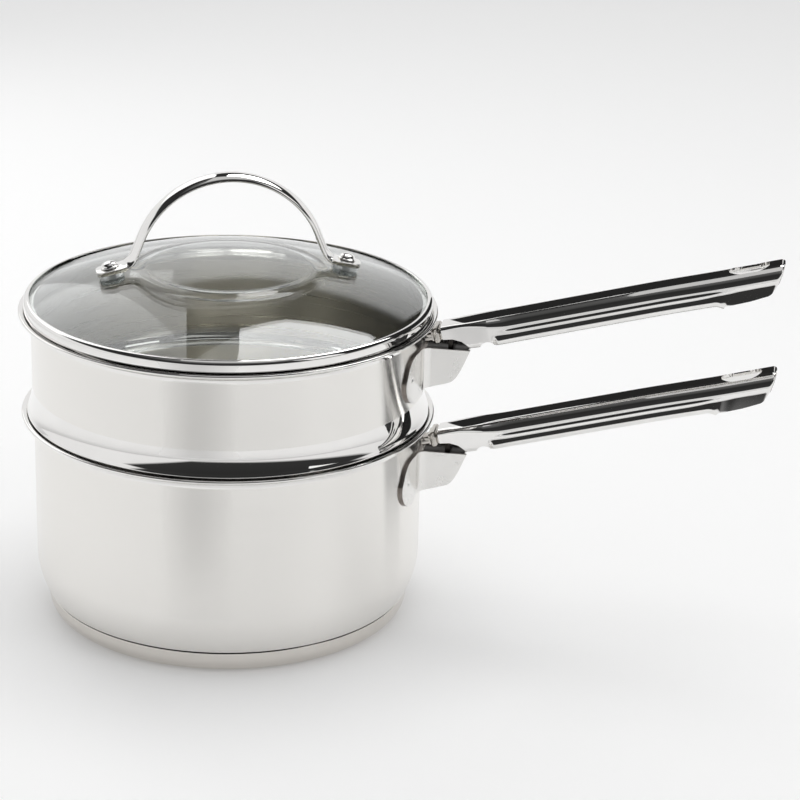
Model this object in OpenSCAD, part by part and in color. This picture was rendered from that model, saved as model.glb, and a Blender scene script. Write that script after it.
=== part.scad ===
// Double boiler for the stove: a straight sided saucepan, a pan that nests in its mouth, and a
// domed glass lid. Millimetres, +Z up. The origin is on the pans' axis at the resting face, and
// both long handles point along +X.

/* [Saucepan] */
// Outside radius of the saucepan's wall
pan_r = 81.7; // [78:0.1:86]
// Thickness of the steel sheet
sheet = 0.8; // [0.6:0.1:1.2]
// Height of the saucepan's rim
pan_h = 88.8; // [84:0.1:95]
// Radius of the wide corner between wall and floor
corner_r = 34; // [24:1:36]
// Outside radius of the base cap
base_r = 76.8; // [74:0.1:78]
// Height of the underside of the pan's floor, above the cap and the core
floor_z = 7.2; // [4:0.1:9]

/* [Insert pan] */
// Outside radius of the insert pan's upper wall
insert_r = 82.2; // [80:0.1:86]
// Outside radius of the part that hangs inside the saucepan
nest_r = 79.0; // [74:0.1:79]
// Height of the insert pan's rim
insert_h = 133.1; // [125:0.1:150]
// Height of the insert pan's underside
insert_floor = 50; // [40:1:60]
// Height at which the upper wall starts to flare out to the shoulder
flare_z = 100; // [96:0.1:105]
// Radius of the shoulder that rests on the saucepan's rim
shoulder_r = 84.6; // [83.6:0.1:85]

/* [Rims] */
// How far a rim stands out from its wall
rim_out = 5.2; // [4:0.1:6.5]
// Thickness of a rim's rolled edge
rim_edge = 1.3; // [1:0.1:1.6]

/* [Lid] */
// Outside radius of the lid's steel band
band_r = 85.1; // [84:0.1:87]
// Height of the band
band_h = 4.9; // [4:0.1:7]
// Radius of the sphere that the glass is pressed to
dome_r = 231; // [200:1:300]
// Thickness of the glass
glass_t = 3.2; // [3:0.1:4]
// Height that the middle of the glass is raised by
step_h = 1.0; // [0.5:0.1:2]
// Turn of the lid and its handle against the pans' handles
lid_turn = 19.5; // [0:0.5:90]

/* [Lid handle] */
// Radius of the arch, at the middle of the strap
arch_r = 39.5; // [36:0.5:42]
// Width of the strap
strap_w = 10; // [8:0.1:11]
// Thickness of the strap
strap_t = 3; // [2.4:0.1:3.2]
// Distance from the lid's axis to each rivet
rivet_at = 48.7; // [45:0.1:52]

/* [Long handles] */
// Length of the grip
grip_l = 142.9; // [120:0.1:180]
// Width of the grip over its lips
grip_w = 18.4; // [16:0.2:22]
// Width of the grip at its root
root_w = 12.6; // [11:0.2:16]
// Height of the grip
grip_h = 11.6; // [10:0.1:14]
// Thickness of the grip's steel sheet
grip_t = 1.2; // [1:0.1:1.6]
// Rise of the grip above level
grip_tilt = 15; // [8:0.1:20]
// Length of the hanging slot
slot_l = 16.8; // [10:0.1:20]
// Width of the hanging slot
slot_w = 10.4; // [6:0.1:11]

/* [Hidden] */
$fn = 96;

// Pieces that lift apart stay this far off each other, and pieces of one body this far
seat_gap = 0.3;
joint_gap = 0.04;
corner_steps = 8;

// The saucepan's corner: the wide bend ends at this angle, where a tight bend leads to the floor
bend_end = 30.7;
tight_r = 5;
tight_x = pan_r - corner_r + (corner_r - tight_r) * cos(bend_end);
tight_z = floor_z + tight_r;
wall_foot = tight_z + (corner_r - tight_r) * sin(bend_end);

// The base: a steel cap holds the core against the pan's floor
cap_t = 0.8;
cap_round = 6.5;
foot_r = base_r - cap_round;

// The insert pan, which hangs by its shoulder on the saucepan's rim
insert_corner = 12;
shoulder_z = pan_h + seat_gap;
shoulder_edge = 0.45;
neck_bend = 1.9;
flare_r = 22;

// The lid rests on the insert's rim
band_z = insert_h + seat_gap;
band_t = 0.5;
band_bend = 2;
skirt_r = insert_r - sheet - 0.8;
skirt_drop = 4.9;
glass_edge_r = band_r - 0.8;
glass_foot_z = band_z + band_t + joint_gap;
dome_top = insert_h + 19.6;
dome_z0 = dome_top - dome_r;
step_inner = 34.5;
step_outer = 40.5;

// The fixings of the lid's handle stand square to the glass
rivet_lean = asin(rivet_at / dome_r);
pad_t = 1.8;
pad_l = 10.4;
pad_w = 9;
foot_t = 2.2;
foot_w = 10.6;
foot_past = 5.8;
head_r = 3.8;
head_h = 2.8;
shank_r = 2;
hole_r = shank_r + joint_gap;
sleeve_r = 3;
washer_r = 5;
washer_t = 0.9;
washer_gap = 0.12;
tail_r = 3.2;
tail_h = 1.2;

// The arch of the lid's handle, the straight leg below it, and the bend into the foot
arch_z = dome_top + 36.2 - arch_r;
arch_end = 68;
leg_bend = 8;
leg_turn = arch_end - rivet_lean;
strap_mid = pad_t + joint_gap + strap_t / 2;

// The long handles: the grip's crown at its root, and how far the saucepan's handle is lower
grip_x = 89.6;
grip_z = insert_h - 1.1;
handle_drop = 45.8;
crown = 0.5;
shoulder_round = 5;
lip_round = 2.6;
lip_in = 3.4;
lip_from = 22.5;
lip_to = 118;
lip_flare = 0.8;
lip_top = -7;
lip_slope = 2.5;
root_to = 22;
side_y = grip_w / 2 - lip_flare;
slot_at = 128.2;
tip_round = 2.6;

// The brackets: a box of two cheeks and a web stands on a shield that is welded to the wall
cheek_y = 6.8;
bracket_t = 1.5;
bracket_z = insert_h - 10.3;
shield_t = 1.2;
tongue_y = 4.6;
collar_y = 6.6;

// Points on a round corner, from angle a to angle b
function arc(x, y, r, a, b, steps = corner_steps) =
  [for (i = [0 : steps]) [x + r * cos(a + (b - a) * i / steps), y + r * sin(a + (b - a) * i / steps)]];

// A smooth step from 0 to 1
function ease(u) = u <= 0 ? 0 : u >= 1 ? 1 : u * u * (3 - 2 * u);

// Height of the glass over the resting face at a radius, on a sphere smaller by t
function dome_at(r, t = 0) =
  dome_z0 + sqrt(pow(dome_r - t, 2) - r * r) + step_h * (1 - ease((r - step_inner) / (step_outer - step_inner)));

// Length of the leg that brings the bend down level with the foot
function leg_run() =
  let (dx = arch_r * sin(arch_end) - rivet_at, dz = arch_z + arch_r * cos(arch_end) - dome_at(rivet_at))
  (dx * sin(rivet_lean) + dz * cos(rivet_lean) - strap_mid - leg_bend * (1 - cos(leg_turn))) / sin(leg_turn);

// A place along the grip and up from its crown, as x and z of the upper handle
function on_grip(u, v) =
  [grip_x + u * cos(grip_tilt) - v * sin(grip_tilt), grip_z + u * sin(grip_tilt) + v * cos(grip_tilt)];

// The outside of a rim that flares out of its wall, from the wall up to the edge
function rim_outside(wall_r, top_z) =
  let (bend = rim_out - 0.8)
  concat(
    arc(wall_r + bend, top_z - rim_edge - bend, bend, 180, 90),
    arc(wall_r + rim_out - rim_edge / 2, top_z - rim_edge / 2, rim_edge / 2, -90, 90, 6));

// The inside of the same rim, from its top down to the wall
function rim_inside(wall_r, top_z) =
  let (bend = rim_out - 0.8 + sheet)
  arc(wall_r + rim_out - 0.8, top_z - bend, bend, 90, 180);

module lower_pan() {
  color("silver")
    rotate_extrude()
      polygon(concat(
        [[0, floor_z]],
        arc(tight_x, tight_z, tight_r, -90, -bend_end, 5),
        arc(pan_r - corner_r, wall_foot, corner_r, -bend_end, 0),
        rim_outside(pan_r, pan_h),
        rim_inside(pan_r, pan_h),
        arc(pan_r - corner_r, wall_foot, corner_r - sheet, 0, -bend_end),
        arc(tight_x, tight_z, tight_r - sheet, -bend_end, -90, 5),
        [[0, floor_z + sheet]]));
}

// Angle on the pan's tight bend, drawn larger by the joint's gap, at a radius
function bend_angle(r) = -acos((r - tight_x) / (tight_r + joint_gap));

module base_core() {
  side_r = base_r - cap_t - joint_gap;
  color("darkgray")
    rotate_extrude()
      polygon(concat(
        [[0, cap_t + joint_gap]],
        arc(foot_r, cap_round, cap_round - cap_t - joint_gap, -90, 0),
        arc(tight_x, tight_z, tight_r + joint_gap, bend_angle(side_r), -90, 5),
        [[0, floor_z - joint_gap]]));
}

module base_cap() {
  color("silver")
    rotate_extrude()
      polygon(concat(
        [[0, 0]],
        arc(foot_r, cap_round, cap_round, -90, 0),
        arc(tight_x, tight_z, tight_r + joint_gap, bend_angle(base_r), bend_angle(base_r - cap_t), 3),
        arc(foot_r, cap_round, cap_round - cap_t, 0, -90),
        [[0, cap_t]]));
}

module upper_pan() {
  flare_end = 25.9;
  flare_x = insert_r + flare_r;
  neck_x = nest_r + neck_bend;
  neck_z = shoulder_z - neck_bend;
  edge_x = shoulder_r - shoulder_edge;
  color("silver")
    rotate_extrude()
      polygon(concat(
        [[0, insert_floor]],
        arc(nest_r - insert_corner, insert_floor + insert_corner, insert_corner, -90, 0),
        arc(neck_x, neck_z, neck_bend, 180, 90, 5),
        arc(edge_x, shoulder_z + shoulder_edge, shoulder_edge, -90, 40, 5),
        arc(flare_x, flare_z, flare_r, 180 + flare_end - 1, 180),
        rim_outside(insert_r, insert_h),
        rim_inside(insert_r, insert_h),
        arc(flare_x, flare_z, flare_r + sheet, 180, 180 + flare_end - 1.5),
        [[edge_x - 1, shoulder_z + sheet]],
        arc(neck_x, neck_z, neck_bend + sheet, 90, 180, 5),
        arc(nest_r - insert_corner, insert_floor + insert_corner, insert_corner - sheet, 0, -90),
        [[0, insert_floor + sheet]]));
}

module lid_glass() {
  under_r = sqrt(pow(dome_r - glass_t, 2) - pow(glass_foot_z - dome_z0, 2));
  top = concat([for (i = [0 : 3]) step_inner * i / 4],
    [for (i = [0 : 4]) step_inner + (step_outer - step_inner) * i / 4],
    [for (i = [1 : 12]) step_outer + (glass_edge_r - step_outer) * i / 12]);
  under = concat([for (i = [0 : 11]) under_r + (step_outer - under_r) * i / 12],
    [for (i = [0 : 4]) step_outer + (step_inner - step_outer) * i / 4],
    [for (i = [1 : 4]) step_inner * (1 - i / 4)]);
  color([0.8, 0.9, 0.88, 0.45])
    difference() {
      rotate_extrude()
        polygon(concat(
          [for (r = under) [r, dome_at(r, glass_t)]],
          [for (r = top) [r, dome_at(r)]],
          [[glass_edge_r, glass_foot_z]]));
      for (side = [0, 1])
        at_rivet(side)
          translate([0, 0, -2 * glass_t])
            cylinder(h = 4 * glass_t, r = sleeve_r + joint_gap);
    }
}

module lid_band() {
  bend_x = band_r - band_bend;
  bend_z = band_z + band_h - band_bend;
  color("gainsboro")
    rotate_extrude()
      polygon(concat(
        [[skirt_r - band_t, band_z - skirt_drop], [skirt_r, band_z - skirt_drop], [skirt_r, band_z]],
        arc(band_r - 0.6, band_z + 0.6, 0.6, -90, 0, 4),
        arc(bend_x, bend_z, band_bend, 0, 100),
        arc(bend_x, bend_z, band_bend - band_t, 100, 0),
        [[band_r - band_t, band_z + band_t], [skirt_r - band_t, band_z + band_t]]));
}

// Places its children at a rivet, on the top of the glass, with the rivet's line along +Z
module at_rivet(side) {
  rotate([0, 0, lid_turn + 180 * side])
    translate([rivet_at, 0, dome_at(rivet_at)])
      rotate([0, rivet_lean, 0])
        children();
}

// The strap's section, flat inside and crowned toward out, with its middle at the origin
module strap_section(out = 1) {
  sag = 1.9;
  round_r = (strap_w * strap_w / 4 + sag * sag) / (2 * sag);
  spread = asin(strap_w / 2 / round_r);
  outline = concat(
    arc(strap_t / 2 - round_r, 0, round_r, -spread, spread, 10),
    [[0.4 - strap_t / 2, strap_w / 2], [-strap_t / 2, strap_w / 2 - 0.4],
     [-strap_t / 2, 0.4 - strap_w / 2], [0.4 - strap_t / 2, -strap_w / 2]]);
  polygon([for (p = outline) [out * p[0], p[1]]]);
}

// Half of the lid's handle from the top of the arch down to the foot, toward +X
module strap_half() {
  leg_l = leg_run();
  translate([0, 0, arch_z])
    rotate([90, 0, 0])
      rotate([0, 0, 90 - arch_end]) {
        rotate_extrude(angle = arch_end)
          translate([arch_r, 0])
            strap_section();
        rotate([90, 0, 0])
          linear_extrude(leg_l)
            translate([arch_r, 0])
              strap_section();
        translate([arch_r + leg_bend, -leg_l, 0])
          rotate([0, 0, 180])
            rotate_extrude(angle = leg_turn)
              translate([leg_bend, 0])
                strap_section(-1);
      }
}

// The strap's flat foot on its pad, with the rivet's hole
module strap_foot() {
  end_r = 3.6;
  translate([0, 0, pad_t + joint_gap])
    difference() {
      linear_extrude(foot_t)
        polygon(concat(
          [[-4.6, strap_w / 2], [-4.6, -strap_w / 2], [-1.6, -foot_w / 2]],
          arc(foot_past - end_r, end_r - foot_w / 2, end_r, -90, 0, 6),
          arc(foot_past - end_r, foot_w / 2 - end_r, end_r, 0, 90, 6),
          [[-1.6, foot_w / 2]]));
      translate([0, 0, -1])
        cylinder(h = foot_t + 2, r = hole_r);
    }
}

module lid_handle() {
  color("silver")
    union() {
      for (side = [0, 1])
        rotate([0, 0, lid_turn + 180 * side])
          strap_half();
      for (side = [0, 1])
        at_rivet(side)
          strap_foot();
    }
}

module lid_pad(side) {
  pad_round = 2.5;
  color([0.75, 0.77, 0.76, 0.7])
    at_rivet(side)
      translate([0, 0, joint_gap])
        difference() {
          linear_extrude(pad_t - joint_gap)
            polygon(concat(
              arc(pad_l / 2 - pad_round, pad_w / 2 - pad_round, pad_round, 0, 90, 5),
              arc(pad_round - pad_l / 2, pad_w / 2 - pad_round, pad_round, 90, 180, 5),
              arc(pad_round - pad_l / 2, pad_round - pad_w / 2, pad_round, 180, 270, 5),
              arc(pad_l / 2 - pad_round, pad_round - pad_w / 2, pad_round, 270, 360, 5)));
          translate([0, 0, -1])
            cylinder(h = pad_t + 2, r = hole_r);
        }
}

module lid_sleeve(side) {
  color([0.75, 0.77, 0.76, 0.7])
    at_rivet(side)
      translate([0, 0, -glass_t])
        difference() {
          cylinder(h = glass_t, r = sleeve_r);
          translate([0, 0, -1])
            cylinder(h = glass_t + 2, r = hole_r);
        }
}

module lid_washer(side) {
  color([0.75, 0.77, 0.76, 0.7])
    at_rivet(side)
      translate([0, 0, -glass_t - washer_gap - washer_t])
        difference() {
          cylinder(h = washer_t, r = washer_r);
          translate([0, 0, -1])
            cylinder(h = washer_t + 2, r = hole_r);
        }
}

// A domed head on a shank that is spread to a flat tail under the washer
module lid_rivet(side) {
  head_z = pad_t + foot_t + 2 * joint_gap;
  tail_z = -glass_t - washer_gap - washer_t - joint_gap;
  edge_h = 0.7;
  ball_r = (head_r * head_r + pow(head_h - edge_h, 2)) / (2 * (head_h - edge_h));
  color("silver")
    at_rivet(side)
      rotate_extrude($fn = 64)
        polygon(concat(
          [[0, tail_z - tail_h], [tail_r - 0.4, tail_z - tail_h], [tail_r, tail_z - tail_h + 0.4], [tail_r, tail_z],
           [shank_r, tail_z], [shank_r, head_z], [head_r, head_z]],
          arc(0, head_z + head_h - ball_r, ball_r, asin((ball_r - head_h + edge_h) / ball_r), 90, 8)));
}

module lid_pad_left() lid_pad(1);
module lid_pad_right() lid_pad(0);
module lid_sleeve_left() lid_sleeve(1);
module lid_sleeve_right() lid_sleeve(0);
module lid_washer_left() lid_washer(1);
module lid_washer_right() lid_washer(0);
module lid_rivet_left() lid_rivet(1);
module lid_rivet_right() lid_rivet(0);

// Places its children at the grip's root, with +X along the grip and +Z square to its crown
module at_grip(drop) {
  translate([grip_x, 0, grip_z - drop])
    rotate([0, -grip_tilt, 0])
      children();
}

// The grip's section across its length, smaller by t all round
module grip_section(t) {
  half = side_y;
  crown_r = (half * half + crown * crown) / (2 * crown);
  side = half - shoulder_round;
  side_z = -crown_r + sqrt(pow(crown_r - shoulder_round, 2) - side * side);
  lean = atan2(side_z + crown_r, side);
  low = half - lip_round;
  low_z = lip_round - grip_h;
  polygon(concat(
    arc(side, side_z, shoulder_round - t, 0, lean, 5),
    arc(0, -crown_r, crown_r - t, lean, 180 - lean, 8),
    arc(-side, side_z, shoulder_round - t, 180 - lean, 180, 5),
    arc(-low, low_z, lip_round - t, 180, 270, 5),
    arc(low, low_z, lip_round - t, 270, 360, 5)));
}

// Half of the grip's width at a share of the way from its root to its full width
function root_side(share) = root_w / 2 + (side_y + 0.1 - root_w / 2) * ease((share - 0.1) / 0.9);

// The grip's form as a closed block from its narrow root to its tip, smaller by t all round
module grip_form(t) {
  half = side_y;
  tip_r = tip_round - t;
  roll_r = 2.2 - t;
  start = t > 0 ? -1 : 0;
  intersection() {
    translate([start, 0, 0])
      rotate([90, 0, 90])
        linear_extrude(grip_l + 1)
          grip_section(t);
    translate([0, 0, -2 * grip_h])
      linear_extrude(3 * grip_h)
        polygon(concat(
          [for (i = [0 : 8]) [root_to * i / 8, -root_side(i / 8) + t]],
          [[root_to + 1, -half - 1], [grip_l - tip_round - 1, -half - 1]],
          arc(grip_l - tip_round, tip_round - half, tip_r, -90, 0, 6),
          arc(grip_l - tip_round, half - tip_round, tip_r, 0, 90, 6),
          [[grip_l - tip_round - 1, half + 1], [root_to + 1, half + 1]],
          [for (i = [8 : -1 : 0]) [root_to * i / 8, root_side(i / 8) - t]],
          [[-5, root_w / 2 - t], [-5, t - root_w / 2]]));
    translate([0, grip_w, 0])
      rotate([90, 0, 0])
        linear_extrude(2 * grip_w)
          polygon(concat(
            [[-5, 1], [-5, -2 * grip_h], [grip_l - 12 - t, -2 * grip_h]],
            [[grip_l - 4.7 - t, -8.6]],
            arc(grip_l - 2.2, -2.2, roll_r, -32, 90, 5),
            [[grip_l - 4, 1]]));
  }
}

// What is cut away below the grip, seen from its side: the tab and notch at the root, and the tip
module grip_underside() {
  polygon(concat(
    [[-3, -2 * grip_h], [-3, -6.6], [-0.4, -6.6], [7.6, -8.1], [10, -11.3], [13.2, -11.3]],
    arc(17.8, -12.9, 3.6, 154, 20, 6),
    [[lip_from, -grip_h - 0.02], [lip_to, -grip_h - 0.02], [126.5, -11.4]],
    arc(133.2, -6.6, 4.1, -88, -32, 4),
    [[grip_l + 3, -1.4], [grip_l + 3, -2 * grip_h]]));
}

// The flared lips along the bottom edges, between the notch and the tip
module grip_lips() {
  half = grip_w / 2;
  low = -grip_h - 0.1;
  for (side = [0, 1])
    mirror([0, side, 0])
      translate([lip_from, 0, 0])
        rotate([90, 0, 90])
          linear_extrude(lip_to - lip_from)
            polygon(concat(
              [[side_y - 0.6, lip_top + 0.2], [side_y, lip_top], [half, lip_top - lip_slope]],
              arc(half - 1.1, low + 1.1, 1.1, 0, -90, 4),
              [[half - lip_in, low], [half - lip_in, low + 1.1], [side_y - 1.6, low + 1.5]]));
}

module grip(drop) {
  color("silver")
    at_grip(drop)
      union() {
        difference() {
          grip_form(0);
          grip_form(grip_t);
          translate([-1, lip_in - grip_w / 2, -grip_h - 1])
            cube([grip_l + 2, grip_w - 2 * lip_in, 3]);
          translate([0, grip_w, 0])
            rotate([90, 0, 0])
              linear_extrude(2 * grip_w)
                grip_underside();
          translate([slot_at, 0, -4])
            linear_extrude(6)
              union() {
                square([slot_l - slot_w, slot_w], center = true);
                for (side = [-1, 1])
                  translate([side * (slot_l - slot_w) / 2, 0])
                    circle(d = slot_w);
              }
        }
        grip_lips();
      }
}

// The shield's outline on the wall, as seen along -X
module shield_outline() {
  top_z = insert_h - 10.2;
  low_z = insert_h - 30.6;
  polygon(concat(
    arc(17.2, low_z + 9, 9, -90, 12, 7),
    arc(16.2, top_z - 8.6, 8.6, 12, 90, 7),
    arc(-16.2, top_z - 8.6, 8.6, 90, 168, 7),
    arc(-17.2, low_z + 9, 9, 168, 270, 7)));
}

// Bracket of one long handle, on a wall of the given radius
module bracket(wall_r, drop) {
  skin = wall_r + joint_gap;
  foot_a = on_grip(3.2, -1.7);
  foot_b = on_grip(16, -1.7);
  foot_c = on_grip(16, -3.2);
  foot_d = on_grip(4.9, -3.2);
  color("silver")
    translate([0, 0, -drop])
      union() {
        difference() {
          intersection() {
            translate([0, 0, insert_h - 40])
              cylinder(h = 40, r = skin + shield_t);
            rotate([90, 0, 90])
              linear_extrude(100)
                shield_outline();
          }
          translate([0, 0, insert_h - 41])
            cylinder(h = 42, r = skin);
          for (side = [-1, 1], weld = [[20.7, 19.8], [11.6, 26.6]])
            translate([0, 0, insert_h - weld[1]])
              rotate([0, 0, side * asin(weld[0] / skin)])
                translate([skin + shield_t - 0.4, 0, 0])
                  rotate([0, 90, 0])
                    cylinder(h = 2, r = 0.9, $fn = 24);
        }
        difference() {
          union() {
            for (y = [cheek_y, bracket_t - cheek_y])
              translate([0, y, 0])
                rotate([90, 0, 0])
                  linear_extrude(bracket_t)
                    polygon([[78, insert_h - 29.4], [84, insert_h - 27.8], [94.5, insert_h - 24.7],
                             [96.5, insert_h - 23.2], [99, insert_h - 18.8], [102.5, bracket_z], [78, bracket_z]]);
            translate([78, 0.5 - cheek_y, bracket_z - bracket_t])
              cube([23.9, 2 * cheek_y - 1, bracket_t]);
            translate([0, tongue_y, 0])
              rotate([90, 0, 0])
                linear_extrude(2 * tongue_y)
                  polygon([[foot_a[0], bracket_z - 0.5], [foot_d[0], bracket_z - 0.5], foot_d, foot_c, foot_b, foot_a]);
          }
          translate([0, 0, insert_h - 41])
            cylinder(h = 42, r = skin + shield_t / 2);
        }
      }
}

// Ferrule between the wall and the root of the grip
module collar(wall_r, drop) {
  color("silver")
    translate([0, 0, -drop])
      difference() {
        at_grip(0)
          translate([-9, 0, 0])
            rotate([90, 0, 90])
              linear_extrude(9 - joint_gap)
                polygon(concat(
                  arc(collar_y - 2.2, -2.6, 2.2, 0, 90, 5),
                  arc(2.2 - collar_y, -2.6, 2.2, 90, 180, 5),
                  [[-collar_y, -6.6], [collar_y, -6.6]]));
        translate([0, 0, insert_h - 20])
          cylinder(h = 13.9 + joint_gap, r = wall_r + shield_t + 2 * joint_gap);
        rotate_extrude()
          polygon(concat(
            [[0, insert_h - 12], [wall_r + joint_gap, insert_h - 12]],
            rim_outside(wall_r + joint_gap, insert_h - joint_gap),
            [[0, insert_h]]));
      }
}

module lower_bracket() bracket(pan_r, handle_drop);
module upper_bracket() bracket(insert_r, 0);
module lower_collar() collar(pan_r, handle_drop);
module upper_collar() collar(insert_r, 0);
module lower_grip() grip(handle_drop);
module upper_grip() grip(0);

lower_pan();
base_core();
base_cap();
lower_bracket();
lower_collar();
lower_grip();
upper_pan();
upper_bracket();
upper_collar();
upper_grip();
lid_glass();
lid_band();
lid_handle();
lid_pad_left();
lid_pad_right();
lid_sleeve_left();
lid_sleeve_right();
lid_washer_left();
lid_washer_right();
lid_rivet_left();
lid_rivet_right();
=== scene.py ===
# %% [markdown]
# # A double boiler in stainless steel
#
# The real object is three things stacked on one axis: a saucepan, an insert pan that hangs in its
# mouth, and a glass lid. This lesson dresses the measured frame of that object: most pieces are
# turned or pressed sheet, so most of them come from one outline and one rule.

# %% Load the frame
import math

import bmesh
import bpy
import numpy as np
from mathutils import Matrix, Vector


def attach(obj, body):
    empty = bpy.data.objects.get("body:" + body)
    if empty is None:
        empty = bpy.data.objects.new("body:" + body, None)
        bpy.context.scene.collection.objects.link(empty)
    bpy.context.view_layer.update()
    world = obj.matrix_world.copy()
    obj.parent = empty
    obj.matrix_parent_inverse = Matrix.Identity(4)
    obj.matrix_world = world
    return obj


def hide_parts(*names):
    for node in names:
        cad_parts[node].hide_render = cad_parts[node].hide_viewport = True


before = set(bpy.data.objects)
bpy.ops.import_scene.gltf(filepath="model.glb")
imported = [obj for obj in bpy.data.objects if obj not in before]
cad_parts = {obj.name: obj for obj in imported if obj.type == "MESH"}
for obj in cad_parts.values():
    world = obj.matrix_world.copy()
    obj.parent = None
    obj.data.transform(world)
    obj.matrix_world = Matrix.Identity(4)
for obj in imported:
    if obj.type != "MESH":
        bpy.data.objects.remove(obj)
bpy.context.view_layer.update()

MM = 0.001


def in_scene(name, data):
    """A new object with the data, linked to the scene."""
    made = bpy.data.objects.new(name, data)
    bpy.context.scene.collection.objects.link(made)
    return made


# %% [markdown]
# ## The camera
#
# The photograph was taken from well above the table with a long lens, so the pans' rims show as
# narrow ovals and the handles run to the right. A camera was fitted to those ovals, and its place,
# heading, tilt and slight roll are written here as numbers.

# %% Camera
camera_data = bpy.data.cameras.new("camera")
camera_data.lens = 118.93
camera_data.sensor_width = 36.0
camera_data.clip_end = 60.0
camera = in_scene("camera", camera_data)
CAMERA_AT = (0.21797, -1.0255, 0.4830)
heading, tilt, roll = math.radians(98.047), math.radians(20.46), 0.026
ahead = Vector((math.cos(heading) * math.cos(tilt),
                math.sin(heading) * math.cos(tilt), -math.sin(tilt)))
level_right = Vector((math.sin(heading), -math.cos(heading), 0))
level_up = level_right.cross(ahead)
right = level_right * math.cos(roll) + level_up * math.sin(roll)
up = level_up * math.cos(roll) - level_right * math.sin(roll)
camera.matrix_world = (Matrix.Translation(CAMERA_AT) @
                       Matrix((right, up, -ahead)).transposed().to_4x4())
bpy.context.scene.camera = camera
bpy.context.scene.view_settings.view_transform = "Standard"
print("camera at", tuple(round(c, 3) for c in camera.matrix_world.translation))

# %% [markdown]
# ## Shared effects for the finishes
#
# Brushed steel is made with an abrasive belt while the pan spins, so its scratches run around the
# axis. One node group draws such scratches from Object coordinates: a noise that is stretched
# along x and y and squeezed along z. Because it never asks for an angle, it has no seam. A second
# group gives the faint clouds that fingers and a cloth leave on polished steel.

# %% Node helpers and groups
def node(tree, kind, inputs=(), **settings):
    made = tree.nodes.new(kind)
    for key, value in settings.items():
        setattr(made, key, value)
    for key, value in dict(inputs).items():
        if isinstance(value, bpy.types.NodeSocket):
            tree.links.new(value, made.inputs[key])
        else:
            made.inputs[key].default_value = value
    return made


def math_node(tree, operation, a, b=0.0):
    return node(tree, "ShaderNodeMath", {0: a, 1: b}, operation=operation).outputs[0]


def ranged(tree, value, low, high, to_low, to_high):
    """The value moved from one range to another."""
    return node(tree, "ShaderNodeMapRange", {"Value": value, "From Min": low, "From Max": high,
                                             "To Min": to_low, "To Max": to_high}).outputs[0]


def mixed(tree, factor, first, second):
    """A colour between two others. Sockets 6 and 7 are the Mix node's colours, and 2 its result."""
    return node(tree, "ShaderNodeMix", {"Factor": factor, 6: first, 7: second},
                data_type="RGBA").outputs[2]


def show(tree, factor, first, second):
    """The material shows the first shader where the factor is 0, and the second where it is 1."""
    pick = node(tree, "ShaderNodeMixShader",
                {0: factor, 1: first.outputs[0], 2: second.outputs[0]})
    tree.links.new(pick.outputs[0], tree.nodes["Material Output"].inputs["Surface"])


def group(name, inputs, outputs):
    tree = bpy.data.node_groups.new(name, "ShaderNodeTree")
    for label, value in inputs.items():
        socket = tree.interface.new_socket(label, in_out="INPUT", socket_type="NodeSocketFloat")
        socket.default_value = value
    for label in outputs:
        tree.interface.new_socket(label, in_out="OUTPUT", socket_type="NodeSocketFloat")
    return tree, tree.nodes.new("NodeGroupInput"), tree.nodes.new("NodeGroupOutput")


brush, brush_in, brush_out = group(
    "Scratches round the axis", {"Fineness": 2600.0, "Length": 22.0, "Low": 0.2, "High": 0.3},
    ["Height", "Roughness"])
place = node(brush, "ShaderNodeTexCoord")
squeeze = node(brush, "ShaderNodeCombineXYZ", {"X": brush_in.outputs["Length"],
                                               "Y": brush_in.outputs["Length"],
                                               "Z": brush_in.outputs["Fineness"]})
stretched = node(brush, "ShaderNodeVectorMath", {0: place.outputs["Object"], 1: squeeze.outputs[0]},
                 operation="MULTIPLY")
fine = node(brush, "ShaderNodeTexNoise",
            {"Vector": stretched.outputs[0], "Scale": 1.0, "Detail": 4.0, "Roughness": 0.7})
coarse = node(brush, "ShaderNodeTexNoise",
              {"Vector": stretched.outputs[0], "Scale": 0.21, "Detail": 2.0})
both = math_node(brush, "ADD", fine.outputs["Fac"], coarse.outputs["Fac"])
half = math_node(brush, "MULTIPLY", both, 0.5)
brush.links.new(half, brush_out.inputs["Height"])
brush.links.new(ranged(brush, half, 0.3, 0.7, brush_in.outputs["Low"], brush_in.outputs["High"]),
                brush_out.inputs["Roughness"])

clouds, clouds_in, clouds_out = group(
    "Faint clouds", {"Scale": 40.0, "Low": 0.03, "High": 0.08}, ["Roughness", "Mask"])
where = node(clouds, "ShaderNodeTexCoord")
cloud = node(clouds, "ShaderNodeTexNoise",
             {"Vector": where.outputs["Object"], "Scale": clouds_in.outputs["Scale"],
              "Detail": 5.0, "Roughness": 0.6}).outputs["Fac"]
clouds.links.new(ranged(clouds, cloud, 0.35, 0.7, clouds_in.outputs["Low"], clouds_in.outputs["High"]),
                 clouds_out.inputs["Roughness"])
clouds.links.new(cloud, clouds_out.inputs["Mask"])
print("shader groups:", [g.name for g in bpy.data.node_groups])

# %% [markdown]
# ## The finishes
#
# Brushed steel covers the walls, mirror polish the rims and handles, and a satin finish the folded
# brackets, with sheared edges that are rougher and painted dark as painted shade. The brushed steel
# is anisotropic: the tangent runs round the axis, and a quarter turn of it stretches every highlight
# upright, across the scratches, which is what the eye knows brushed steel by. A nearly black steel is
# painted shade, put in seams and gaps that light can't reach. The ferrule's steel is painted darker,
# as painted shade for the dark things it mirrors. The base cap is a little duller than the rims, and
# the lid is clear glass.

# %% Materials
def finish(name):
    made = bpy.data.materials.new(name)
    made.use_nodes = True
    return made, made.node_tree, made.node_tree.nodes["Principled BSDF"]


def use_group(tree, which, **values):
    made = node(tree, "ShaderNodeGroup", node_tree=which)
    for label, value in values.items():
        made.inputs[label].default_value = value
    return made


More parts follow.
